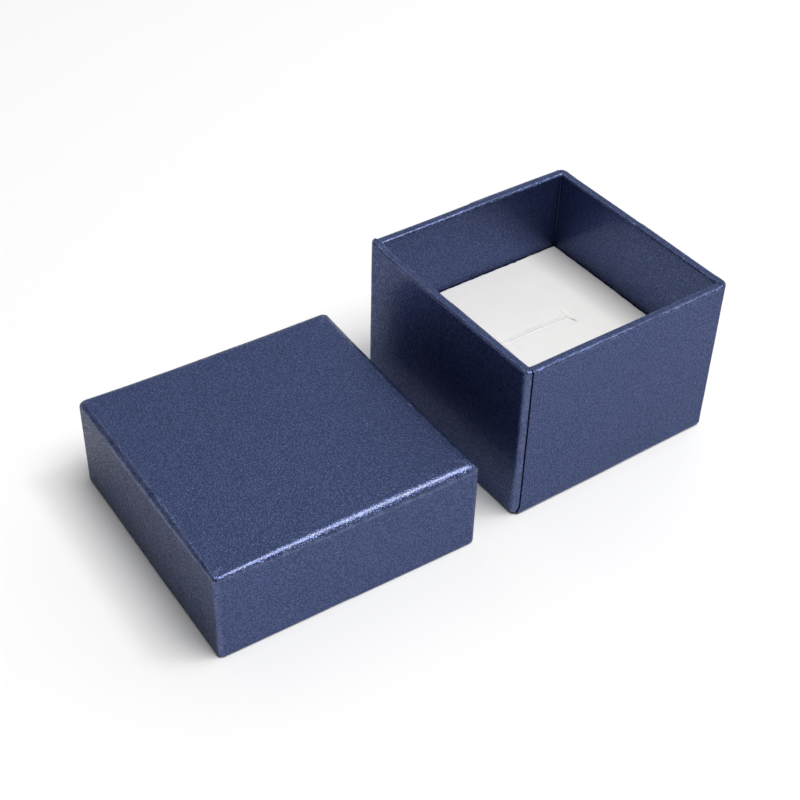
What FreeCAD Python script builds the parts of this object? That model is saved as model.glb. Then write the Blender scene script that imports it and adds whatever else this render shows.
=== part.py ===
"""Lift-off jewelry gift box: a rigid board base with a slit foam ring pad, and its lid standing beside it.

The base stands on its bottom face, centred on the origin, +Z up, front towards -Y, in millimetres.
Both halves are set-up boxes: a scored greyboard tray, paper stays over its four corners, and one sheet
of leatherette paper round the outside, over the rim and down inside.
"""
import FreeCAD, Part
import Sketcher
import os

doc = FreeCAD.newDocument("jewelry_gift_box")

# ---------------------------------------------------------------- driving sizes, in millimetres and degrees
SIZES = (
    ("base_width", 63.6, "board tray of the base, outside, along X"),
    ("base_depth", 63.6, "board tray of the base, outside, along Y"),
    ("base_height", 45.5, "base over its wrap, floor to rim"),
    ("lid_height", 25.5, "lid over its wrap, rim to top"),
    ("board", 2.0, "greyboard of both trays"),
    ("stay", 0.1, "gummed paper stay, and the glue line beside it"),
    ("wrap", 0.2, "leatherette wrap paper"),
    ("liner", 0.2, "liner sheets inside"),
    ("lid_gap", 0.4, "slip fit between the base and the lid, each side"),
    ("corner_round", 1.7, "upright corners of a board tray"),
    ("rim_round", 0.5, "both edges of a tray's rim"),
    ("foot_round", 0.8, "edges round the bottom of the base tray"),
    ("top_round", 2.4, "edges round the top of the lid tray"),
    ("butt_gap", 0.1, "open joint where two folded walls meet"),
    ("turn_in", 28.0, "wrap turned down inside the base, from its rim"),
    ("stay_leg", 11.0, "width of a stay on each side of its corner"),
    ("stay_margin", 1.0, "bare board above and below a stay, past the rounded edges"),
    ("foam_height", 20.4, "foam block of the insert"),
    ("cover", 0.4, "flocked top sheet of the insert"),
    ("insert_gap", 0.25, "clearance between the insert and the wrap, each side"),
    ("foam_round", 0.8, "upright corners of the foam block"),
    ("liner_margin", 0.3, "clearance round a liner sheet"),
    ("slit_length", 20.4, "main cut of the ring slit, along X"),
    ("slit_end", 6.2, "length of the short cut across each end of the slit"),
    ("slit_width", 0.6, "width of the cuts"),
    ("slit_depth", 15.0, "depth of the cuts below the top of the foam"),
    ("stand_gap", 11.7, "from the base to the standing lid, before the lid is turned"),
    ("lid_y", 2.8, "middle of the standing lid, along Y"),
    ("lid_turn", -2.2, "how far the standing lid is turned, in degrees"),
)
sizes = doc.addObject("Spreadsheet::Sheet", "sizes")
for row, (alias, value, meaning) in enumerate(SIZES, start=1):
    sizes.set("A%d" % row, alias)
    sizes.set("B%d" % row, str(value))
    sizes.set("C%d" % row, meaning)
    sizes.setAlias("B%d" % row, alias)
doc.recompute()

# The lid tray goes round the base's wrap, the slip fit and its own turned-in wrap.
LID_GROWTH = "2 * (sizes.stay + 2 * sizes.wrap + sizes.lid_gap + sizes.board)"
BASE_PLAN = ("sizes.base_width", "sizes.base_depth")
LID_PLAN = ("sizes.base_width + " + LID_GROWTH, "sizes.base_depth + " + LID_GROWTH)
SAME_LEVEL = 1e-4


def grown(plan, extra):
    """The plan's width and depth, each larger by an expression."""
    return tuple("%s + %s" % (side, extra) for side in plan)


INSIDE_BOARD = "(-2 * sizes.board)"
INSIDE_WRAP = "(-2 * sizes.board - 2 * sizes.wrap)"
OVER_STAY = "(2 * sizes.stay)"
OVER_WRAP = "(2 * sizes.stay + 2 * sizes.wrap)"


# ---------------------------------------------------------------- sketches and features
def own_plane(body, role):
    """The body's own origin plane with that role."""
    for feature in body.Origin.OriginFeatures:
        if feature.Role == role:
            return feature


def rectangle(body, name, plan, level="0", middle_x="0"):
    """A sketch of one rectangle at a level of the body, with its middle on the X axis."""
    sketch = body.newObject("Sketcher::SketchObject", name)
    sketch.AttachmentSupport = [(own_plane(body, "XY_Plane"), "")]
    sketch.MapMode = "FlatFace"
    sketch.setExpression("AttachmentOffset.Base.x", middle_x)
    sketch.setExpression("AttachmentOffset.Base.z", level)
    corners = [FreeCAD.Vector(x, y, 0) for x, y in ((-5, -5), (5, -5), (5, 5), (-5, 5))]
    for side in range(4):
        sketch.addGeometry(Part.LineSegment(corners[side], corners[(side + 1) % 4]))
    for side in range(4):
        sketch.addConstraint(Sketcher.Constraint("Coincident", side, 2, (side + 1) % 4, 1))
    for side in (0, 2):
        sketch.addConstraint(Sketcher.Constraint("Horizontal", side))
        sketch.addConstraint(Sketcher.Constraint("Vertical", side + 1))
    sketch.addConstraint(Sketcher.Constraint("Symmetric", 0, 1, 1, 2, -1, 1))
    across = sketch.addConstraint(Sketcher.Constraint("DistanceX", 0, 1, 0, 2, 10))
    along = sketch.addConstraint(Sketcher.Constraint("DistanceY", 1, 1, 1, 2, 10))
    sketch.renameConstraint(across, "across")
    sketch.renameConstraint(along, "along")
    sketch.setExpression("Constraints.across", plan[0])
    sketch.setExpression("Constraints.along", plan[1])
    return sketch


def padded(body, name, plan, level, height):
    """A rectangular block of the body, from a level up."""
    feature = body.newObject("PartDesign::Pad", name)
    feature.Profile = rectangle(body, name + "_plan", plan, level)
    feature.setExpression("Length", height)
    doc.recompute()
    return feature


def pocketed(body, name, sketch, depth):
    """A pocket downwards from a sketch's level. It stops the build if it takes nothing away."""
    before = body.Shape.Volume
    feature = body.newObject("PartDesign::Pocket", name)
    feature.Profile = sketch
    feature.setExpression("Length", depth)
    doc.recompute()
    if not body.Shape.Volume < before:
        raise RuntimeError(body.Label + ": pocket " + name + " cuts nothing")
    return feature


def rounded(body, name, chosen, radius):
    """A fillet on the edges of the body's tip that chosen picks out."""
    tip = body.Tip
    names = ["Edge%d" % (i + 1) for i, edge in enumerate(tip.Shape.Edges) if chosen(edge)]
    feature = body.newObject("PartDesign::Fillet", name)
    feature.Base = (tip, names)
    feature.setExpression("Radius", radius)
    doc.recompute()
    return feature


def upright(edge):
    """True of a straight edge along Z."""
    box = edge.BoundBox
    return box.XLength < SAME_LEVEL and box.YLength < SAME_LEVEL


def at_level(level):
    """A test for edges that lie flat at a level."""
    def test(edge):
        box = edge.BoundBox
        return abs(box.ZMin - level) < SAME_LEVEL and abs(box.ZMax - level) < SAME_LEVEL
    return test


def lowest(body):
    """The body's lowest level."""
    return body.Shape.BoundBox.ZMin


def highest(body):
    """The body's highest level."""
    return body.Shape.BoundBox.ZMax


# ---------------------------------------------------------------- pieces that both halves have
# Each half is drawn with its closed side down. The lid is then turned over by its pieces' Placement.
def open_box(body, plan, inside, level, height, floor, corner, rim, foot):
    """A block with rounded upright corners, hollowed from above, with its rim and its foot rounded."""
    padded(body, "block", plan, level, height)
    rounded(body, "corners", upright, corner)
    top = level + " + " + height
    hollow = rectangle(body, "hollow_plan", inside, top)
    pocketed(body, "hollow", hollow, height + " - " + floor)
    rounded(body, "rim", at_level(highest(body)), rim)
    rounded(body, "foot", at_level(lowest(body)), foot)


def board_height(height):
    """A tray's height: the half's height less the wrap under its floor and over its rim."""
    return "(%s - 2 * sizes.wrap)" % height


def board_tray(label, plan, height, foot):
    """A tray from one scored blank: walls folded up from a floor, with open butt joints at the corners."""
    body = doc.addObject("PartDesign::Body", label)
    open_box(body, plan, grown(plan, INSIDE_BOARD), "sizes.wrap", board_height(height),
             "sizes.board", "sizes.corner_round", "sizes.rim_round", foot)
    for side, sign in (("front", "-"), ("back", "+")):
        joint = rectangle(body, side + "_butt_plan", (plan[0] + " + 1", "sizes.butt_gap"),
                          height + " - sizes.wrap")
        joint.setExpression("AttachmentOffset.Base.y",
                            "%s((%s) / 2 - sizes.board - sizes.butt_gap / 2)" % (sign, plan[1]))
        pocketed(body, side + "_butt", joint, board_height(height) + " - sizes.board")
    return body


def corner_stays(half, plan, height, foot, turned_over):
    """Four paper stays, each glued over the outside of one upright corner of a tray."""
    made = []
    length = "%s - 2 * sizes.wrap - %s - sizes.rim_round - 2 * sizes.stay_margin" % (height, foot)
    level = "sizes.wrap + %s + sizes.stay_margin" % foot
    for front_back, sign_y in (("front", -1), ("back", 1)):
        for left_right, sign_x in (("left", -1), ("right", 1)):
            label = "%s_corner_stay_%s_%s" % (half, front_back, left_right)
            side_y = -sign_y if turned_over else sign_y
            outer = corner_block(label + "_outer", plan, (sign_x, side_y), "sizes.stay", level, length)
            inner = corner_block(label + "_inner", plan, (sign_x, side_y), "0", level, length)
            stay = doc.addObject("Part::Cut", label)
            stay.Base = outer
            stay.Tool = inner
            made.append(stay)
    return made


def corner_block(name, plan, signs, skin, level, length):
    """A block as wide as a stay's leg, standing in one corner of a plan that is larger by a skin all round.

    Its outer upright edge is rounded as the tray's corner is, plus the skin.
    """
    block = doc.addObject("Part::Box", name + "_block")
    block.setExpression("Length", "sizes.stay_leg")
    block.setExpression("Width", "sizes.stay_leg")
    block.setExpression("Height", length)
    for axis, side, sign in (("x", plan[0], signs[0]), ("y", plan[1], signs[1])):
        reach = "((%s) / 2 + %s)" % (side, skin)
        place = reach + " - sizes.stay_leg" if sign > 0 else "-" + reach
        block.setExpression("Placement.Base." + axis, place)
    block.setExpression("Placement.Base.z", level)
    doc.recompute()
    corner = FreeCAD.Vector(signs[0], signs[1], 0)
    reach_of = [edge.CenterOfMass.dot(corner) if upright(edge) else 0 for edge in block.Shape.Edges]
    outermost = reach_of.index(max(reach_of)) + 1
    radius = sizes.get("corner_round") + (sizes.get("stay") if skin != "0" else 0)
    fillet = doc.addObject("Part::Fillet", name)
    fillet.Base = block
    fillet.Edges = [(outermost, radius, radius)]
    doc.recompute()
    return fillet


def paper_wrap(label, plan, height, foot, turn_in=None):
    """One sheet of wrap paper: under the floor, up the walls, over the rim and down inside by turn_in.

    With no turn_in it reaches the floor inside. It is a block as large as the covered half, hollowed to
    the face of the turned-in paper, with the space of the tray and its stays cut out of it.
    """
    block = doc.addObject("PartDesign::Body", label + "_block")
    under = "(sizes.wrap + sizes.board)"
    rim_radius = "sizes.rim_round + sizes.wrap"
    corner = "sizes.corner_round + sizes.stay + sizes.wrap"
    open_box(block, grown(plan, OVER_WRAP), grown(plan, INSIDE_WRAP), "0", height,
             under, corner, rim_radius, foot + " + sizes.wrap")
    if turn_in:
        bare = rectangle(block, "bare_plan", grown(plan, INSIDE_BOARD), "%s - %s" % (height, turn_in))
        pocketed(block, "bare", bare, "%s - %s - %s" % (height, turn_in, under))
    space = doc.addObject("PartDesign::Body", label + "_tray_space")
    open_box(space, grown(plan, OVER_STAY), grown(plan, INSIDE_BOARD), "sizes.wrap", board_height(height),
             "sizes.board", "sizes.corner_round + sizes.stay", "sizes.rim_round", foot)
    paper = doc.addObject("Part::Cut", label)
    paper.Base = block
    paper.Tool = space
    return paper


def plain_sheet(label, plan, level, thickness):
    """A flat rectangular sheet."""
    body = doc.addObject("PartDesign::Body", label)
    padded(body, "sheet", plan, level, thickness)
    return body


# ---------------------------------------------------------------- the base
base = [board_tray("base_board_tray", BASE_PLAN, "sizes.base_height", "sizes.foot_round")]
base += corner_stays("base", BASE_PLAN, "sizes.base_height", "sizes.foot_round", turned_over=False)
base.append(paper_wrap("base_paper_wrap", BASE_PLAN, "sizes.base_height", "sizes.foot_round",
                       "sizes.turn_in"))
FLOOR = "(sizes.wrap + sizes.board)"
LINER_MARGIN = "(-2 * sizes.board - 2 * sizes.liner_margin)"
base.append(plain_sheet("base_floor_liner", grown(BASE_PLAN, LINER_MARGIN), FLOOR, "sizes.liner"))

# ---------------------------------------------------------------- the insert: foam with a flocked top sheet
SEAT = "(sizes.wrap + sizes.board + sizes.liner)"
INSERT_PLAN = grown(BASE_PLAN, "(-2 * sizes.board - 2 * sizes.wrap - 2 * sizes.insert_gap)")


def ring_slit(body, top, depth):
    """The three cuts that hold a ring: one along X and a short one across each end of it."""
    slit = rectangle(body, "slit_plan", ("sizes.slit_length", "sizes.slit_width"), top)
    pocketed(body, "slit", slit, depth)
    for end, sign in (("left", "-"), ("right", "")):
        middle = sign + "(sizes.slit_length - sizes.slit_width) / 2"
        across = rectangle(body, end + "_end_plan", ("sizes.slit_width", "sizes.slit_end"), top, middle)
        pocketed(body, end + "_end", across, depth)


foam = doc.addObject("PartDesign::Body", "insert_foam_block")
padded(foam, "block", INSERT_PLAN, SEAT, "sizes.foam_height")
rounded(foam, "corners", upright, "sizes.foam_round")
ring_slit(foam, SEAT + " + sizes.foam_height", "sizes.slit_depth")

top_sheet = doc.addObject("PartDesign::Body", "insert_top_sheet")
padded(top_sheet, "sheet", INSERT_PLAN, SEAT + " + sizes.foam_height", "sizes.cover")
rounded(top_sheet, "corners", upright, "sizes.foam_round")
ring_slit(top_sheet, SEAT + " + sizes.foam_height + sizes.cover", "sizes.cover")
insert = [foam, top_sheet]

# ---------------------------------------------------------------- the lid, turned over, on its rim
lid = [board_tray("lid_board_tray", LID_PLAN, "sizes.lid_height", "sizes.top_round")]
lid += corner_stays("lid", LID_PLAN, "sizes.lid_height", "sizes.top_round", turned_over=True)
lid.append(paper_wrap("lid_paper_wrap", LID_PLAN, "sizes.lid_height", "sizes.top_round"))
LID_LINER_MARGIN = "(-2 * sizes.board - 2 * sizes.wrap - 2 * sizes.liner_margin)"
lid.append(plain_sheet("lid_top_liner", grown(LID_PLAN, LID_LINER_MARGIN), FLOOR, "sizes.liner"))

LID_STAND = "-(sizes.base_width + 2 * (sizes.stay + sizes.wrap) + %s) / 2 - sizes.stand_gap" % (
    grown(LID_PLAN, OVER_WRAP)[0])
# Half a turn about a level axis at half the lid's turn flips it and turns it at once.
flip = FreeCAD.Rotation(FreeCAD.Vector(0, 0, 1), sizes.get("lid_turn"))
flip = flip.multiply(FreeCAD.Rotation(FreeCAD.Vector(1, 0, 0), 180))
for piece in lid:
    piece.Placement = FreeCAD.Placement(FreeCAD.Vector(0, 0, 0), flip)
    piece.setExpression("Placement.Base.x", LID_STAND)
    piece.setExpression("Placement.Base.y", "sizes.lid_y")
    piece.setExpression("Placement.Base.z", "sizes.lid_height")
doc.recompute()

# ---------------------------------------------------------------- check everything, then write the pieces
for thing in doc.Objects:
    if "Invalid" in thing.State or "Error" in thing.State:
        raise RuntimeError(thing.Label + " did not compute: " + str(thing.State))
pieces = base + insert + lid
for piece in pieces:
    if piece.Shape.isNull() or not piece.Shape.isValid():
        raise RuntimeError(piece.Label + " has no valid shape")
    if len(piece.Shape.Solids) != 1:
        raise RuntimeError(piece.Label + " is %d solids" % len(piece.Shape.Solids))
os.makedirs("parts", exist_ok=True)
for piece in pieces:
    piece.Shape.exportStep("parts/%s.step" % piece.Label)
    print("%-34s %10.2f mm3" % (piece.Label, piece.Shape.Volume))
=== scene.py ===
"""A lift-off ring gift box, open: the covered base with its slit foam pad, and the lid standing beside it.

Metres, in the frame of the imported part. Each half is a greyboard tray with paper stays over its corners
and one sheet of pearl navy leatherette paper round it. The sections follow the order of making.
"""
import math

import bpy
import numpy as np
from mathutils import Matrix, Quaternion, Vector


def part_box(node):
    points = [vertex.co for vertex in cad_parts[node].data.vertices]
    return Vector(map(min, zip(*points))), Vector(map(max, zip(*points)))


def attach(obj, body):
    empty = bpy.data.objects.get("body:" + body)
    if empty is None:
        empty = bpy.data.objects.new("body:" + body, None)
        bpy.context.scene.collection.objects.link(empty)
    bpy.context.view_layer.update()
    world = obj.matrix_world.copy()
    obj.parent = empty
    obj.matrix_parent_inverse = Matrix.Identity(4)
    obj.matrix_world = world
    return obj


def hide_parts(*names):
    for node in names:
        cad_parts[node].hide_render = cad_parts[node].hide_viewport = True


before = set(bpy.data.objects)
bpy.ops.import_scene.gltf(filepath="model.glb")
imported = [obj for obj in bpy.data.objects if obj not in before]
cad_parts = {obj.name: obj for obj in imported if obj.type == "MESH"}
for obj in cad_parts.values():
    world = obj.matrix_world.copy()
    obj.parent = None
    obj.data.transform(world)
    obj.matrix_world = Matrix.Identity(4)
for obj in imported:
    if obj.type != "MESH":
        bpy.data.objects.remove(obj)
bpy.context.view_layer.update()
MM = 0.001


# ---------------------------------------------------------------- board trays
# Each tray is a scored blank of 2 mm greyboard, folded up and butted at the corners. Greyboard is pressed
# waste paper: grey-brown, matt, with short darker and lighter fibres lying all ways in it.
def new_group(name, takes, gives):
    """An empty shader node group with named inputs {name: (kind, default)} and outputs {name: kind}."""
    tree = bpy.data.node_groups.new(name, "ShaderNodeTree")
    for label, (kind, default) in takes.items():
        socket = tree.interface.new_socket(label, in_out="INPUT", socket_type=kind)
        if default is not None:
            socket.default_value = default
    for label, kind in gives.items():
        tree.interface.new_socket(label, in_out="OUTPUT", socket_type=kind)
    return tree, tree.nodes.new("NodeGroupInput").outputs, tree.nodes.new("NodeGroupOutput").inputs


def add_node(tree, kind, inputs=None, **settings):
    """A node with its settings. An input is given a number or colour, or the output socket that feeds it."""
    made = tree.nodes.new(kind)
    for key, value in settings.items():
        setattr(made, key, value)
    for key, value in (inputs or {}).items():
        if isinstance(value, bpy.types.NodeSocket):
            tree.links.new(value, made.inputs[key])
        else:
            made.inputs[key].default_value = value
    return made


def new_finish(name, **plain):
    """A new material's tree, its shader and its Object coordinates. Plain numbers go on the shader itself."""
    material = bpy.data.materials.new(name)
    material.use_nodes = True
    tree = material.node_tree
    shader = tree.nodes["Principled BSDF"]
    for socket, value in plain.items():
        shader.inputs[socket.replace("_", " ")].default_value = value
    return material, tree, shader, add_node(tree, "ShaderNodeTexCoord").outputs["Object"]


def put_bump(tree, shader, height, depth, strength=1.0):
    """Feeds a height, from 0 to 1, to the shader's Normal through a Bump node that is depth metres deep."""
    bump = add_node(tree, "ShaderNodeBump", {"Height": height, "Distance": depth, "Strength": strength})
    tree.links.new(bump.outputs["Normal"], shader.inputs["Normal"])


FLOAT, VECTOR = "NodeSocketFloat", "NodeSocketVector"

# Pressed fibres: fine noise stretched by a coarser noise, so short streaks run all ways.
pressed_fibres, put_in, put_out = new_group(
    "pressed_fibres",
    {"Vector": (VECTOR, None), "Per Metre": (FLOAT, 900.0), "Contrast": (FLOAT, 0.5)},
    {"Height": FLOAT, "Fibre": FLOAT})
drift = add_node(pressed_fibres, "ShaderNodeTexNoise",
                 {"Vector": put_in["Vector"], "Scale": 260.0, "Detail": 2.0})
bent = add_node(pressed_fibres, "ShaderNodeVectorMath",
                {0: drift.outputs["Color"], "Scale": 0.004}, operation="SCALE")
path = add_node(pressed_fibres, "ShaderNodeVectorMath", {0: put_in["Vector"], 1: bent.outputs[0]})
streaks = add_node(pressed_fibres, "ShaderNodeTexNoise",
                   {"Vector": path.outputs[0], "Scale": put_in["Per Metre"], "Detail": 6.0, "Roughness": 0.7})
fibre_mask = add_node(pressed_fibres, "ShaderNodeMapRange",
                      {"Value": streaks.outputs["Fac"], "From Min": 0.52, "From Max": 0.68,
                       "To Max": put_in["Contrast"]})
pressed_fibres.links.new(streaks.outputs["Fac"], put_out["Height"])
pressed_fibres.links.new(fibre_mask.outputs["Result"], put_out["Fibre"])


def pressed_paper(name, ground, fibre, per_metre, contrast, depth, roughness):
    """A matt uncoated paper or board: a ground colour with fibres of another colour, raised a little."""
    material, tree, shader, place = new_finish(name, Roughness=roughness, Specular_IOR_Level=0.25)
    pressed = add_node(tree, "ShaderNodeGroup", node_tree=pressed_fibres)
    tree.links.new(place, pressed.inputs["Vector"])
    pressed.inputs["Per Metre"].default_value = per_metre
    pressed.inputs["Contrast"].default_value = contrast
    colour = add_node(tree, "ShaderNodeMix", {"Factor": pressed.outputs["Fibre"]}, data_type="RGBA")
    colour.inputs["A"].default_value = ground
    colour.inputs["B"].default_value = fibre
    tree.links.new(colour.outputs["Result"], shader.inputs["Base Color"])
    put_bump(tree, shader, pressed.outputs["Height"], depth)
    return material


def cover(node, material):
    """Gives a carried CAD node its finish, in every material slot it has."""
    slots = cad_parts[node].data.materials
    if len(slots) == 0:
        slots.append(material)
    for index in range(len(slots)):
        slots[index] = material


GREYBOARD = pressed_paper("greyboard", (0.36, 0.34, 0.31, 1), (0.20, 0.18, 0.16, 1),
                          1400.0, 0.75, 0.00006, 0.93)
for tray in ("base_board_tray", "lid_board_tray"):
    cover(tray, GREYBOARD)

# ---------------------------------------------------------------- corner stays
# Strips of gummed kraft paper, glued over each upright corner to hold the tray square. They are brown and
# a little shiny where the gum has dried.
STAY_PAPER = pressed_paper("gummed_stay_paper", (0.52, 0.40, 0.26, 1), (0.38, 0.27, 0.16, 1),
                           1800.0, 0.55, 0.00003, 0.7)
for half in ("base", "lid"):
    for corner_name in ("front_left", "front_right", "back_left", "back_right"):
        cover(half + "_corner_stay_" + corner_name, STAY_PAPER)


# ---------------------------------------------------------------- base wrap
# One sheet of pearl navy leatherette paper, glued on under the floor, up the walls, over the rim and down
# inside. The side panels' ears fold round the corners, and the front and back panels are laid over them,
# which leaves an open seam down each corner that crosses the rim to the corner inside.
def smooth(value, low, high):
    """A step from 0 at low to 1 at high with level ends: 3 s squared less 2 s cubed."""
    s = np.clip((value - low) / (high - low), 0.0, 1.0)
    return s * s * (3.0 - 2.0 * s)


def arc(middle, radius, start, end, count):
    """Points and outward normals on an arc, angles in degrees from outwards towards up."""
    angle = np.radians(np.linspace(start, end, count))
    way = np.stack([np.cos(angle), np.sin(angle)], axis=1)
    return np.array(middle) + radius * way, way


def run(start, end, count, way):
    """Points evenly along a straight run, without its two ends, all with the same outward normal."""
    along = np.linspace(0.0, 1.0, count + 2)[1:-1, None]
    return np.array(start) + along * (np.array(end) - np.array(start)), np.tile(way, (count, 1))


def wrap_profile(half, height, foot, rim, wall, end_level):
    """The sheet's line from the middle of the closed side out, up the wall, over the rim and down inside.

    A point is (distance from the middle, height). The closed side is at height 0.
    """
    parts = [
        (np.array([[0.0, 0.0]]), np.array([[0.0, -1.0]])),
        run((0.0, 0.0), (half - foot, 0.0), 30, (0.0, -1.0)),
        arc((half - foot, foot), foot, -90.0, 0.0, 9),
        run((half, foot), (half, height - rim), 30, (1.0, 0.0)),
        arc((half - rim, height - rim), rim, 0.0, 90.0, 8),
        run((half - rim, height), (half - wall + rim, height), 2, (0.0, 1.0)),
        arc((half - wall + rim, height - rim), rim, 90.0, 180.0, 8),
        run((half - wall, height - rim), (half - wall, end_level), 22, (-1.0, 0.0)),
        (np.array([[half - wall, end_level]]), np.array([[-1.0, 0.0]])),
    ]
    return np.concatenate([p for p, _ in parts]), np.concatenate([n for _, n in parts])


# Angles round a corner, close together where a seam's edges are, the same from either end.
QUARTER = np.array([0.0, 2.5, 5.5, 6.5, 14.0, 17.0, 21.0, 29.0, 37.0])
CORNER_ANGLES = np.concatenate([QUARTER, [45.0], 90.0 - QUARTER[::-1]])
STRAIGHT = 64


def wrap_grid(half, corner, inner_corner, profile, way, slant):
    """The sheet as a grid: each profile point carried round a square with rounded corners.

    A ring whose distance from the middle is e has straight sides to e less its corner radius, and arcs
    between them. Outside, the radius is in proportion to e. From the rim in, it is the outer one less how
    far the ring lies in, but no less than the inner one. Sides go front, right, back, left. slant bends the
    arcs' angles near the foot, where 1 is even.
    Returns points and normals (rows, columns, 3), and for each column its side, its share along the side
    from -1 to 1, and its angle round the corner, which is -1 on a straight.
    """
    reach = profile[:, :1]
    outside = ((way[:, 0] >= 0.0) & (way[:, 1] <= 0.0))[:, None]
    radius = np.where(outside, corner * reach / half, np.maximum(corner - (half - reach), inner_corner))
    straight = reach - radius
    share = np.linspace(-1.0, 1.0, STRAIGHT + 2)[1:-1]
    points, normals, side_of, share_of, angle_of = [], [], [], [], []
    for side in range(4):
        turn = side * math.pi / 2.0
        along = np.array([math.cos(turn), math.sin(turn)])
        out = np.array([math.sin(turn), -math.cos(turn)])
        part = CORNER_ANGLES / 90.0
        if side % 2 == 0:
            angle = np.radians(90.0 * part[None, :] ** slant[:, None])
        else:
            angle = np.radians(90.0 - 90.0 * (1.0 - part[None, :]) ** slant[:, None])
        t = np.concatenate([straight * share, straight + radius * np.sin(angle)], axis=1)
        n = np.concatenate([np.tile(reach, share.size), straight + radius * np.cos(angle)], axis=1)
        tn = np.concatenate([np.zeros((len(reach), share.size)), np.sin(angle)], axis=1)
        nn = np.concatenate([np.ones((len(reach), share.size)), np.cos(angle)], axis=1)
        points.append(t[..., None] * along + n[..., None] * out)
        normals.append(tn[..., None] * along + nn[..., None] * out)
        side_of.append(np.full(share.size + CORNER_ANGLES.size, side))
        share_of.append(np.concatenate([share, np.ones(CORNER_ANGLES.size)]))
        angle_of.append(np.concatenate([np.full(share.size, -1.0), CORNER_ANGLES]))
    plan = np.concatenate(points, axis=1)
    plan_way = np.concatenate(normals, axis=1)
    level = np.broadcast_to(profile[:, 1][:, None, None], plan.shape[:2] + (1,))
    grid = np.concatenate([plan, level], axis=2)
    tilt = np.concatenate([plan_way * way[:, 0][:, None, None],
                           np.broadcast_to(way[:, 1][:, None, None], level.shape)], axis=2)
    return grid, tilt, np.concatenate(side_of), np.concatenate(share_of), np.concatenate(angle_of)


def hand_waver(points, size, seed):
    """A small wander of a hand-covered surface: four slow waves in space, each of its own random lie."""
    draw = np.random.default_rng(seed)
    total = np.zeros(points.shape[:-1])
    for length in (31.0, 17.0, 9.0, 5.0):
        lie = draw.normal(size=3)
        lie /= np.linalg.norm(lie)
        total += length / 31.0 * np.sin(points @ lie * (2.0 * math.pi / length) + draw.uniform(0.0, 6.28))
    return size * total


def closed_grid(name, front, back, marks, material):
    """A closed skin from two grids of equal size: the sheet's face, and its glued side in the same order.

    Both start at a pole. Rows join round, the last rows join the two sides along the sheet's edge, and the
    poles are one vertex each. marks are numbers on the face's vertices; the glued side has 0.
    """
    rows, columns = front.shape[:2]
    rings = np.concatenate([front[1:], back[:0:-1]]).reshape(-1, 3)
    vertices = np.concatenate([rings, front[0, :1], back[0, :1]]) * MM
    count = 2 * (rows - 1)
    index = np.arange(count * columns).reshape(count, columns)
    beside = np.roll(index, -1, axis=1)
    quads = np.stack([index[:-1], beside[:-1], beside[1:], index[1:]], axis=-1).reshape(-1, 4)
    poles = (len(rings), len(rings) + 1)
    first = np.stack([np.full(columns, poles[0]), beside[0], index[0]], axis=-1)
    last = np.stack([np.full(columns, poles[1]), index[-1], beside[-1]], axis=-1)
    mesh = bpy.data.meshes.new(name)
    mesh.from_pydata(vertices.tolist(), [], quads.tolist() + first.tolist() + last.tolist())
    for label, values in marks.items():
        face = values[1:].reshape(-1)
        full = np.concatenate([face, np.zeros(len(face) + 2)])
        layer = mesh.attributes.new(label, "FLOAT", "POINT")
        layer.data.foreach_set("value", full.astype(np.float32))
    mesh.polygons.foreach_set("use_smooth", np.ones(len(mesh.polygons), bool))
    mesh.set_sharp_from_angle(angle=math.radians(50.0))
    mesh.materials.append(material)
    mesh.validate()
    piece = bpy.data.objects.new(name, mesh)
    bpy.context.scene.collection.objects.link(piece)
    return piece


# The paper's face has a fine pebble grain pressed into it, with round-topped pebbles of uneven size.
pebble_grain, put_in, put_out = new_group(
    "pebble_grain",
    {"Vector": (VECTOR, None), "Per Metre": (FLOAT, 2200.0), "Unevenness": (FLOAT, 0.5)},
    {"Height": FLOAT, "Crest": FLOAT})
swirl = add_node(pebble_grain, "ShaderNodeTexNoise",
                 {"Vector": put_in["Vector"], "Scale": 1000.0, "Detail": 2.0})
shift = add_node(pebble_grain, "ShaderNodeVectorMath",
                 {0: swirl.outputs["Color"], "Scale": 0.0005}, operation="SCALE")
moved = add_node(pebble_grain, "ShaderNodeVectorMath", {0: put_in["Vector"], 1: shift.outputs[0]})
pebbles = add_node(pebble_grain, "ShaderNodeTexVoronoi",
                   {"Vector": moved.outputs[0], "Scale": put_in["Per Metre"], "Smoothness": 0.6},
                   feature="SMOOTH_F1")
domes = add_node(pebble_grain, "ShaderNodeMapRange",
                 {"Value": pebbles.outputs["Distance"], "From Min": 0.1, "From Max": 0.75,
                  "To Min": 1.0, "To Max": 0.0}, interpolation_type="SMOOTHSTEP")
ripples = add_node(pebble_grain, "ShaderNodeTexNoise",
                   {"Vector": put_in["Vector"], "Scale": 2500.0, "Detail": 2.0, "Roughness": 0.5})
blended = add_node(pebble_grain, "ShaderNodeMix",
                   {"Factor": put_in["Unevenness"], "A": domes.outputs["Result"], "B": ripples.outputs["Fac"]})
crests = add_node(pebble_grain, "ShaderNodeMapRange",
                  {"Value": blended.outputs["Result"], "From Min": 0.35, "From Max": 0.75})
pebble_grain.links.new(blended.outputs["Result"], put_out["Height"])
pebble_grain.links.new(crests.outputs["Result"], put_out["Crest"])

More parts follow.
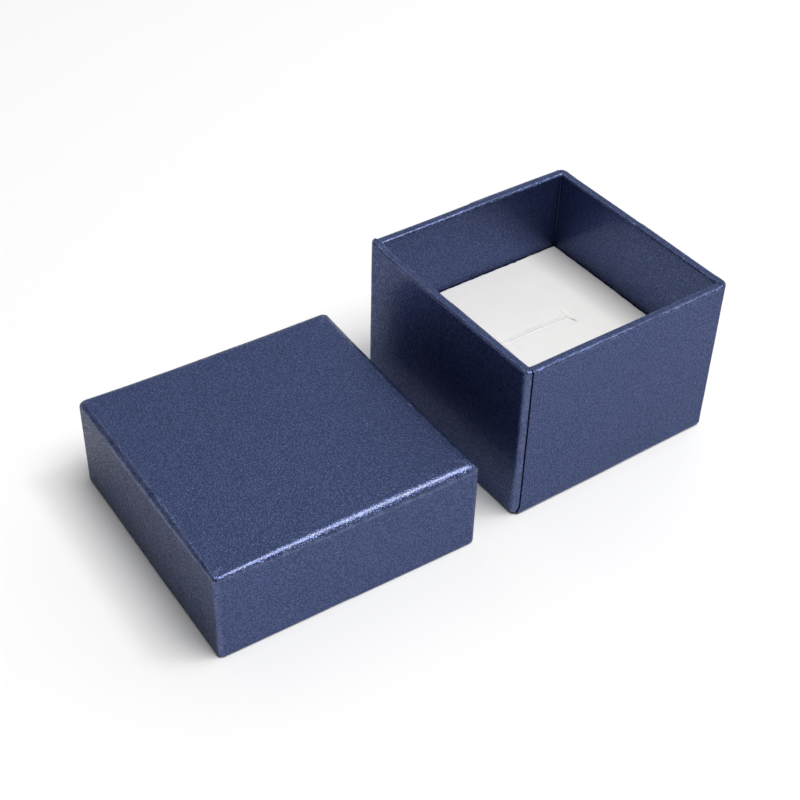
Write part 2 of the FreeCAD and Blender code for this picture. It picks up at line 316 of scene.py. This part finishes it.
# Handling rubs the folded edges: a mark on the mesh says where they are, and noise breaks it up.
edge_rub, put_in, put_out = new_group(
    "edge_rub",
    {"Vector": (VECTOR, None), "Edge": (FLOAT, 0.0), "Amount": (FLOAT, 0.5)},
    {"Rub": FLOAT})
patches = add_node(edge_rub, "ShaderNodeTexNoise",
                   {"Vector": put_in["Vector"], "Scale": 420.0, "Detail": 5.0, "Roughness": 0.65})
broken = add_node(edge_rub, "ShaderNodeMapRange",
                  {"Value": patches.outputs["Fac"], "From Min": 0.36, "From Max": 0.66})
on_edge = add_node(edge_rub, "ShaderNodeMath", {0: broken.outputs["Result"], 1: put_in["Edge"]},
                   operation="MULTIPLY")
rubbed = add_node(edge_rub, "ShaderNodeMath", {0: on_edge.outputs[0], 1: put_in["Amount"]},
                  operation="MULTIPLY")
edge_rub.links.new(rubbed.outputs[0], put_out["Rub"])

# Slow cloudiness: the pearl lies thicker in some places than in others.
pearl_cloud, put_in, put_out = new_group(
    "pearl_cloud", {"Vector": (VECTOR, None), "Per Metre": (FLOAT, 45.0)}, {"Cloud": FLOAT})
cloud = add_node(pearl_cloud, "ShaderNodeTexNoise",
                 {"Vector": put_in["Vector"], "Scale": put_in["Per Metre"], "Detail": 4.0, "Roughness": 0.55})
pearl_cloud.links.new(cloud.outputs["Fac"], put_out["Cloud"])


VALLEY_INK = (0.050, 0.072, 0.172, 1)
CREST_PEARL = (0.098, 0.132, 0.300, 1)
THIN_PEARL = (0.86, 0.88, 0.92, 1)
WORN_PEARL = (0.21, 0.25, 0.45, 1)
# Dark colour for the seam's groove, a dark joint, and also painted shade in the corners inside.
SEAM_DARK_AND_PAINTED_SHADE = (0.006, 0.008, 0.022, 1)
GRAIN_DEPTH = 0.00012


def leatherette():
    """Pearl navy leatherette: dark between the pebbles, pearl on their crests, darker down in a seam, and
    darker in the corners inside as painted shade.
    """
    material, tree, shader, place = new_finish(
        "pearl_navy_leatherette", Metallic=0.84, Specular_IOR_Level=0.5, Specular_Tint=(0.2, 0.2, 0.16, 1.0),
        Coat_Roughness=0.2, Coat_IOR=1.5)
    grain = add_node(tree, "ShaderNodeGroup", node_tree=pebble_grain)
    clouds = add_node(tree, "ShaderNodeGroup", node_tree=pearl_cloud)
    rub = add_node(tree, "ShaderNodeGroup", node_tree=edge_rub)
    for group in (grain, clouds, rub):
        tree.links.new(place, group.inputs["Vector"])
    edge_mark = add_node(tree, "ShaderNodeAttribute", attribute_name="folded_edge")
    seam_and_shade_mark = add_node(tree, "ShaderNodeAttribute", attribute_name="seam_and_painted_shade")
    tree.links.new(edge_mark.outputs["Fac"], rub.inputs["Edge"])
    rub.inputs["Amount"].default_value = 0.4
    ink = add_node(tree, "ShaderNodeMix", {"Factor": grain.outputs["Crest"]}, data_type="RGBA")
    ink.inputs["A"].default_value = VALLEY_INK
    ink.inputs["B"].default_value = CREST_PEARL
    toned = add_node(tree, "ShaderNodeMix", {"Factor": clouds.outputs["Cloud"], "A": ink.outputs["Result"]},
                     data_type="RGBA", blend_type="MULTIPLY")
    toned.inputs["B"].default_value = THIN_PEARL
    worn = add_node(tree, "ShaderNodeMix", {"Factor": rub.outputs["Rub"], "A": toned.outputs["Result"]},
                    data_type="RGBA")
    worn.inputs["B"].default_value = WORN_PEARL
    # The seam mark darkens the colour and takes off the coat: in the seam's groove as a dark joint, in the
    # corners inside as painted shade.
    seamed_and_shaded = add_node(tree, "ShaderNodeMix", {"Factor": seam_and_shade_mark.outputs["Fac"], "A": worn.outputs["Result"]},
                      data_type="RGBA")
    seamed_and_shaded.inputs["B"].default_value = SEAM_DARK_AND_PAINTED_SHADE
    tree.links.new(seamed_and_shaded.outputs["Result"], shader.inputs["Base Color"])
    clear = add_node(tree, "ShaderNodeMapRange",
                     {"Value": grain.outputs["Crest"], "To Min": 0.22, "To Max": 0.56})
    outside_seam_and_shade = add_node(tree, "ShaderNodeMath", {0: 1.0, 1: seam_and_shade_mark.outputs["Fac"]}, operation="SUBTRACT")
    clear_left = add_node(tree, "ShaderNodeMath", {0: clear.outputs["Result"], 1: outside_seam_and_shade.outputs[0]},
                          operation="MULTIPLY")
    burnished = add_node(tree, "ShaderNodeMath", {0: edge_mark.outputs["Fac"], 1: clear_left.outputs[0],
                                                  2: clear_left.outputs[0]}, operation="MULTIPLY_ADD")
    tree.links.new(burnished.outputs[0], shader.inputs["Coat Weight"])
    gloss = add_node(tree, "ShaderNodeMapRange",
                     {"Value": grain.outputs["Crest"], "To Min": 0.36, "To Max": 0.27})
    tree.links.new(gloss.outputs["Result"], shader.inputs["Roughness"])
    # The bend opens the grain along a fold, so it stands half as high again there.
    more = add_node(tree, "ShaderNodeMath", {0: edge_mark.outputs["Fac"], 1: 0.5}, operation="MULTIPLY")
    opened = add_node(tree, "ShaderNodeMath", {0: more.outputs[0], 1: grain.outputs["Height"],
                                               2: grain.outputs["Height"]}, operation="MULTIPLY_ADD")
    put_bump(tree, shader, opened.outputs[0], GRAIN_DEPTH)
    return material


LEATHERETTE = leatherette()
PAPER = 0.2          # thickness of the sheet, mm
WALL = 2.5           # a covered wall, from its face outside to its face inside, mm
WAVER = 0.03         # how far the covering wanders, mm


def laid_sheet(half, height, folds, softness, swell, rim, wall, end_level, corner, lap, seam, lifts,
               bow, seed):
    """The wrap's face and glued side, before it is put in place, and its marks.

    The front and back panels stand proud by lap as far as the seam; past it lies a groove, then the ear.
    lifts are how far the rim of the corners right-front, right-back, left-back and left-front stands up.
    bow is how far the walls bulge at the middle of each side, most at the rim. folds are the radii of the
    tightest and the softest fold at the closed side, softness mixes them at the same four corners, and
    swell is added to the mix at the middle of each side.
    """
    profile, way = wrap_profile(half, height, folds[0], rim, wall, end_level)
    loose, _ = wrap_profile(half, height, folds[1], rim, wall, end_level)
    slant = 1.0 - 0.55 * (1.0 - smooth(profile[:, 1], 0.4, 3.2)) * (profile[:, 0] > half - wall + 0.01)
    tight_face, tilt, side, share, angle = wrap_grid(half, corner, 0.2, profile, way, slant)
    soft_face = wrap_grid(half, corner, 0.2, loose, way, slant)[0]
    there, last = np.array(softness)[side], np.array(softness)[side - 1]
    mixed = last + (there - last) * (share + 1.0) / 2.0 + swell * (1.0 - share ** 2) * (angle < 0.0)
    mixed = np.minimum(mixed, 1.0)
    face = tight_face + (soft_face - tight_face) * mixed[None, :, None]
    laid = (side % 2 == 0)
    turned = np.where(laid, angle, 90.0 - angle)
    edge_low, edge_high = seam
    on_panel = np.where(angle < 0.0, laid, turned <= edge_low + 0.01)
    in_groove = (angle >= 0.0) & (turned > edge_low + 0.01) & (turned < edge_high)
    level = profile[:, 1]
    past_fold = smooth(way[:, 0] - way[:, 1], -0.9, 0.2)[:, None]
    past_fold[profile[:, 0] < half - wall - 0.01] = 0.0
    proud = (lap * on_panel - 0.6 * lap * in_groove)[None, :] * past_fold
    middle = np.where(angle < 0.0, 1.0 - share ** 2, 0.0)[None, :]
    near_rim = smooth(level, 0.0, height)[:, None]
    bulge = bow * middle * near_rim * np.sign(tilt[..., :2] * face[..., :2]).sum(-1).clip(-1, 1)
    moved = face + tilt * (proud + bulge * (np.abs(way[:, 0]) > 0.5)[:, None])[..., None]
    moved = moved + tilt * hand_waver(face, WAVER, seed)[..., None]
    # The ears' edges pile up in the corners, so the rim of each corner stands up a little.
    lift = np.zeros(side.shape)
    for corner_at, amount in enumerate(lifts):
        before, after = side == corner_at, side == (corner_at + 1) % 4
        fade_before = np.where(before, smooth(share, 0.85, 1.0), 0.0)
        fade_after = np.where(after & (angle < 0.0), smooth(-share, 0.85, 1.0), 0.0)
        lift = lift + amount * np.where(before & laid & (angle < 0.0), 0.0, fade_before)
        lift = lift + amount * np.where(after & laid, 0.0, fade_after)
    lift = lift * ~(on_panel & laid) * np.where(in_groove, 0.3, 1.0)
    moved[..., 2] += lift[None, :] * smooth(level, height - 5.0, height - 0.5)[:, None]
    moved[..., 2] = moved[..., 2].clip(0.0, height + max(lifts))
    back = moved - tilt * PAPER
    back[0] = moved[0] + np.array([0.0, 0.0, PAPER])
    bent = ((np.abs(way[:, 0]) < 0.99) & (np.abs(way[:, 1]) < 0.99))[:, None]
    round_corner = np.where(angle >= 0.0, np.sin(np.radians(angle * 2.0)), 0.0)[None, :] * past_fold
    folded = np.maximum(bent * 1.0, 0.7 * round_corner)
    inside = (profile[:, 0] < half - wall + 0.01) & (level > 1.0)
    # Down the corners inside, the seam mark is set to 0.5 as painted shade, darkening the corners where shade
    # falls.
    painted_corner_shade = 0.5 * (inside[:, None] & (angle >= 0.0)[None, :])
    marks = {
        "folded_edge": folded * ~inside[:, None] * np.ones(face.shape[:2]),
        "seam_and_painted_shade": np.maximum(in_groove[None, :] * 0.9 * past_fold, painted_corner_shade),
    }
    return moved, back, marks


low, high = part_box("base_paper_wrap")
BASE_HALF = 32.1     # half the covered base's width, mm
BASE_HEIGHT = high.z / MM
face, glued, marks = laid_sheet(half=BASE_HALF, height=BASE_HEIGHT, folds=(1.0, 1.0),
                                softness=(0.0, 0.0, 0.0, 0.0), swell=0.0, rim=0.75,
                                wall=WALL, end_level=17.5, corner=2.1, lap=0.14, seam=(5.5, 17.0),
                                lifts=(0.15, 0.12, 0.75, 0.1), bow=0.12, seed=3)
base_wrap = closed_grid("base_wrap", face, glued, marks, LEATHERETTE)
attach(base_wrap, "base")
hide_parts("base_paper_wrap")

# ---------------------------------------------------------------- base floor liner
# A plain sheet of dark blue paper, glued on the floor inside, under the pad.
LINER_PAPER = pressed_paper("dark_blue_liner", (0.030, 0.042, 0.110, 1), (0.048, 0.062, 0.150, 1),
                            1600.0, 0.8, 0.00002, 0.8)
for liner in ("base_floor_liner", "lid_top_liner"):
    cover(liner, LINER_PAPER)


# ---------------------------------------------------------------- ring pad
# A block of white foam with a flocked sheet glued on, cut square a little under the size of the well. A
# long cut and a short one across each end hold the ring; the lips have closed up, one higher than the other.
PAD_HALF = 29.35
low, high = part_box("insert_foam_block")
PAD_FOOT = low.z / MM
PAD_TOP = high.z / MM + 0.1   # at its edges, which are pressed down under the crown
PAD_CORNER = 0.35
CROWN = 1.05         # how far the middle stands over the edges
ROLL, ROLL_WIDTH = 0.55, 1.2
EDGE_WANDER = 0.09   # how far the sheet's cut edge wanders in
NICK_AT, NICK_DEPTH, NICK_WIDTH = 15.1, 0.45, 0.5
# Each cut's two ends in plan, its depth, its half width and its lip's rise.
CUTS = (
    ((-9.8, 0.95), (0.5, 0.92), 0.34, 0.11, 0.28),
    ((0.5, 0.92), (10.5, 0.35), 0.34, 0.11, 0.28),
    ((10.45, 0.10), (10.85, 3.60), 0.10, 0.14, 0.20),
    ((10.35, 0.25), (10.75, -1.90), 0.65, 0.14, 0.10),
    ((-10.9, -3.60), (-10.65, 3.20), 0.08, 0.12, 0.22),
    ((-9.9, -3.10), (-9.75, 1.90), 0.06, 0.12, 0.20),
)


def dense(spans):
    """Grid lines over the pad: each span is (from, to, spacing), and joins the next."""
    runs = [np.arange(a, b - 0.3 * step, step) for a, b, step in spans]
    return np.concatenate(runs + [np.array([spans[-1][1]])])


def pad_height(x, y):
    """The top's height: a low crown, edges rolled off, and along each cut a V with one lip raised.

    The V falls off as the fourth power of the distance from the cut over its half width. The lip is a low
    hump on the left of the way the cut is given, with a shallower dip on its right.
    """
    crown = CROWN * (1.0 - (x / PAD_HALF) ** 2) * (1.0 - (y / PAD_HALF) ** 2)
    inset = PAD_HALF - np.maximum(np.abs(x), np.abs(y))
    rolled = ROLL * (1.0 - smooth(inset, 0.0, ROLL_WIDTH)) ** 2
    z = PAD_TOP + crown - rolled
    for (ax, ay), (bx, by), depth, width, rise in CUTS:
        dx, dy = bx - ax, by - ay
        length = math.hypot(dx, dy)
        along = ((x - ax) * dx + (y - ay) * dy) / length
        across = (-(x - ax) * dy + (y - ay) * dx) / length
        within = smooth(along, -0.25, 0.25) * (1.0 - smooth(along, length - 0.25, length + 0.25))
        near = smooth(along, -2.5, 1.5) * (1.0 - smooth(along, length - 1.5, length + 2.5))
        z = z - depth * within * np.exp(-(across / width) ** 4)
        lip, dip = np.exp(-((across - 0.42) / 0.38) ** 2), np.exp(-((across + 0.45) / 0.5) ** 2)
        z = z + rise * near * (lip - 0.4 * dip)
        z = z - 0.10 * near * np.exp(-(across / 2.2) ** 2)
    return z + hand_waver(np.stack([x, y, 0.0 * x], axis=-1), 0.04, 11)


def rounded_square(x, y, half, radius):
    """Moves a square's points so that its corners are arcs.

    Each corner's small square becomes a quarter disc: a point's distance from that square's inner corner
    is brought from the length of its slant down to the longer of its two sides.
    """
    cx, cy = np.maximum(np.abs(x) - (half - radius), 0.0), np.maximum(np.abs(y) - (half - radius), 0.0)
    far = np.hypot(cx, cy)
    scale = np.where(far > 0.0, np.maximum(cx, cy) / np.maximum(far, 1e-9), 1.0)
    inside_x, inside_y = np.abs(x) - cx, np.abs(y) - cy
    return np.sign(x) * (inside_x + cx * scale), np.sign(y) * (inside_y + cy * scale)


lines_x = dense([(-PAD_HALF, -28.0, 0.25), (-28.0, -12.0, 0.9), (-12.0, -9.0, 0.08), (-9.0, 9.6, 0.5),
                 (9.6, 12.2, 0.08), (12.2, 28.0, 0.45), (28.0, PAD_HALF, 0.25)])
lines_y = dense([(-PAD_HALF, -28.0, 0.25), (-28.0, -5.0, 0.9), (-5.0, -0.9, 0.35), (-0.9, 2.0, 0.06),
                 (2.0, 5.0, 0.35), (5.0, 28.0, 0.9), (28.0, PAD_HALF, 0.25)])
gx, gy = np.meshgrid(lines_x, lines_y, indexing="ij")
top_z = pad_height(gx, gy)
px, py = rounded_square(gx, gy, PAD_HALF, PAD_CORNER)
foot = np.stack([px, py, np.full(px.shape, PAD_FOOT)], axis=-1)
# The sheet's knife-cut edge wanders a little, and has one nick at the back. The foam below is cut straight.
along_edge = np.where(np.abs(gx) > np.abs(gy), gy, gx)
pulled_in = EDGE_WANDER * (1.0 + 0.6 * np.sin(1.1 * along_edge + 0.7) + 0.4 * np.sin(2.7 * along_edge))
pulled_in = pulled_in + NICK_DEPTH * np.exp(-((gx - NICK_AT) / NICK_WIDTH) ** 2) * (gy > 0.0)
edge_share = smooth(np.maximum(np.abs(gx), np.abs(gy)), PAD_HALF - 1.6, PAD_HALF)
px, py = px * (1.0 - pulled_in * edge_share / PAD_HALF), py * (1.0 - pulled_in * edge_share / PAD_HALF)
top = np.stack([px, py, top_z], axis=-1)
top_index = np.arange(px.size).reshape(px.shape)
foot_index = top_index + px.size
edge = np.concatenate([top_index[:-1, 0], top_index[-1, :-1], top_index[:0:-1, -1], top_index[0, :0:-1]])
SIDE_ROWS = 14
down = np.linspace(0.0, 1.0, SIDE_ROWS + 2)[1:-1, None, None]
rim_points = top.reshape(-1, 3)[edge]
foot_points = foot.reshape(-1, 3)[edge]
side = rim_points * (1.0 - down) + foot_points * down
side[..., :2] = foot_points[:, :2] + (rim_points - foot_points)[:, :2] * (1.0 - down) ** 12
side_index = 2 * px.size + np.arange(SIDE_ROWS * len(edge)).reshape(SIDE_ROWS, len(edge))
belt = np.concatenate([edge[None], side_index, (edge + px.size)[None]])
belt_next = np.roll(belt, -1, axis=1)
top_faces = (top_index[:-1, :-1], top_index[1:, :-1], top_index[1:, 1:], top_index[:-1, 1:])
foot_faces = (foot_index[:-1, :-1], foot_index[:-1, 1:], foot_index[1:, 1:], foot_index[1:, :-1])
side_faces = (belt[:-1], belt[1:], belt_next[1:], belt_next[:-1])
faces = np.concatenate([np.stack(each, -1).reshape(-1, 4) for each in (top_faces, foot_faces, side_faces)])
pad_points = np.concatenate([top.reshape(-1, 3), foot.reshape(-1, 3), side.reshape(-1, 3)]) * MM
pad_mesh = bpy.data.meshes.new("ring_pad")
pad_mesh.from_pydata(pad_points.tolist(), [], faces.tolist())
pad_mesh.polygons.foreach_set("use_smooth", np.ones(len(pad_mesh.polygons), bool))
pad_mesh.set_sharp_from_angle(angle=math.radians(55.0))
pad_mesh.validate()


def white_flock():
    """White flock on foam: a soft bloom at grazing angles, fine short nap, faint greyer patches."""
    material, tree, shader, place = new_finish(
        "white_flocked_foam", Roughness=0.95, Specular_IOR_Level=0.2, Sheen_Weight=0.25, Sheen_Roughness=0.6)
    nap = add_node(tree, "ShaderNodeTexNoise", {"Vector": place, "Scale": 3200.0, "Detail": 3.0})
    clouds = add_node(tree, "ShaderNodeGroup", node_tree=pearl_cloud)
    tree.links.new(place, clouds.inputs["Vector"])
    clouds.inputs["Per Metre"].default_value = 70.0
    tone = add_node(tree, "ShaderNodeMix", {"Factor": clouds.outputs["Cloud"]}, data_type="RGBA")
    tone.inputs["A"].default_value = (0.715, 0.708, 0.695, 1)
    tone.inputs["B"].default_value = (0.790, 0.782, 0.770, 1)
    tree.links.new(tone.outputs["Result"], shader.inputs["Base Color"])
    put_bump(tree, shader, nap.outputs["Fac"], 0.00010)
    return material


pad_mesh.materials.append(white_flock())
ring_pad = bpy.data.objects.new("ring_pad", pad_mesh)
bpy.context.scene.collection.objects.link(ring_pad)
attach(ring_pad, "insert")
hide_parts("insert_foam_block", "insert_top_sheet")

# ---------------------------------------------------------------- lid wrap
# The same paper round the lid, from its soft-edged top down the walls, round the rim and up inside as far
# as the top. The lid is drawn closed side down, then turned over, turned a little and stood on the table.
low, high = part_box("lid_paper_wrap")
LID_HALF = 35.0      # half the covered lid's width, mm
LID_HEIGHT = high.z / MM
LID_TURN = math.radians(-2.2)
lid_middle = (low + high) / 2.0 / MM
face, glued, marks = laid_sheet(half=LID_HALF, height=LID_HEIGHT, folds=(0.9, 2.8),
                                softness=(0.6, 0.7, 0.05, 0.3), swell=0.35, rim=0.7,
                                wall=WALL, end_level=2.4, corner=1.5, lap=0.04, seam=(69.0, 76.0),
                                lifts=(0.0, 0.0, 0.0, 0.0), bow=0.1, seed=8)


def stood_up(points):
    """Turns a closed-side-down grid half over about X, turns it about Z and moves it to the lid's place."""
    x, y, z = points[..., 0], -points[..., 1], LID_HEIGHT - points[..., 2]
    c, s = math.cos(LID_TURN), math.sin(LID_TURN)
    return np.stack([c * x - s * y + lid_middle.x, s * x + c * y + lid_middle.y, z], axis=-1)


lid_wrap = closed_grid("lid_wrap", stood_up(face), stood_up(glued), marks, LEATHERETTE)
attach(lid_wrap, "lid")
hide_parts("lid_paper_wrap")

# ---------------------------------------------------------------- table, light and camera
# A plain white table top, a large soft light overhead with a small one beside it, and a room that is
# brighter on the right and behind.
scene = bpy.context.scene
table_mesh = bpy.data.meshes.new("table_top")
table_mesh.from_pydata([(-2, -2, 0), (2, -2, 0), (2, 2, 0), (-2, 2, 0)], [], [(0, 1, 2, 3)])
table_top = bpy.data.objects.new("table_top", table_mesh)
scene.collection.objects.link(table_top)
white_card, _, shader, _ = new_finish("white_card", Roughness=0.6, Specular_IOR_Level=0.3)
shader.inputs["Base Color"].default_value = (0.86, 0.86, 0.86, 1)
table_mesh.materials.append(white_card)

scene.world = bpy.data.worlds.new("room")
scene.world.use_nodes = True
room = scene.world.node_tree
facing = add_node(room, "ShaderNodeTexCoord").outputs["Generated"]
toward = add_node(room, "ShaderNodeVectorMath", {0: facing}, operation="DOT_PRODUCT")
toward.inputs[1].default_value = (0.75, 0.66, 0.0)
bright_side = add_node(room, "ShaderNodeMapRange",
                       {"Value": toward.outputs["Value"], "From Min": 0.0, "From Max": 1.0,
                        "To Min": 0.14, "To Max": 0.85})
# The backdrop itself is as pale as the table, from every side.
backdrop = add_node(room, "ShaderNodeMix", {0: add_node(room, "ShaderNodeLightPath").outputs["Is Camera Ray"],
                                            2: bright_side.outputs["Result"], 3: 0.93})
room.links.new(backdrop.outputs[0], room.nodes["Background"].inputs["Strength"])
room.nodes["Background"].inputs["Color"].default_value = (1.0, 1.0, 1.0, 1)


def soft_light(name, way, size, power):
    """A round soft light that faces the boxes from a direction, at the lights' common distance."""
    data = bpy.data.lights.new(name, "AREA")
    data.shape = "DISK"
    data.size = size
    data.energy = power
    lamp = bpy.data.objects.new(name, data)
    scene.collection.objects.link(lamp)
    aim = Vector((-0.03, 0.0, 0.02))
    lamp.location = aim + Vector(way).normalized() * LIGHT_DISTANCE
    lamp.rotation_euler = (aim - lamp.location).to_track_quat("-Z", "Y").to_euler()


LIGHT_DISTANCE = 2.2
soft_light("overhead", (0.17, -0.285, 0.9432), 1.64, 49.0)
soft_light("key", (0.42, -0.26, 0.87), 0.4, 5.0)

camera_data = bpy.data.cameras.new("camera")
camera_data.sensor_width = 36.0
camera_data.lens = 70.2
camera = bpy.data.objects.new("camera", camera_data)
scene.collection.objects.link(camera)
camera.location = (-0.21958, -0.23652, 0.27161)
looking_at = Vector((-0.02956, 0.02001, 0.0))
turn = (looking_at - camera.location).to_track_quat("-Z", "Y")
camera.rotation_euler = (turn @ Quaternion((0.0, 0.0, 1.0), math.radians(1.83))).to_euler()
scene.camera = camera
scene.view_settings.view_transform = "Standard"
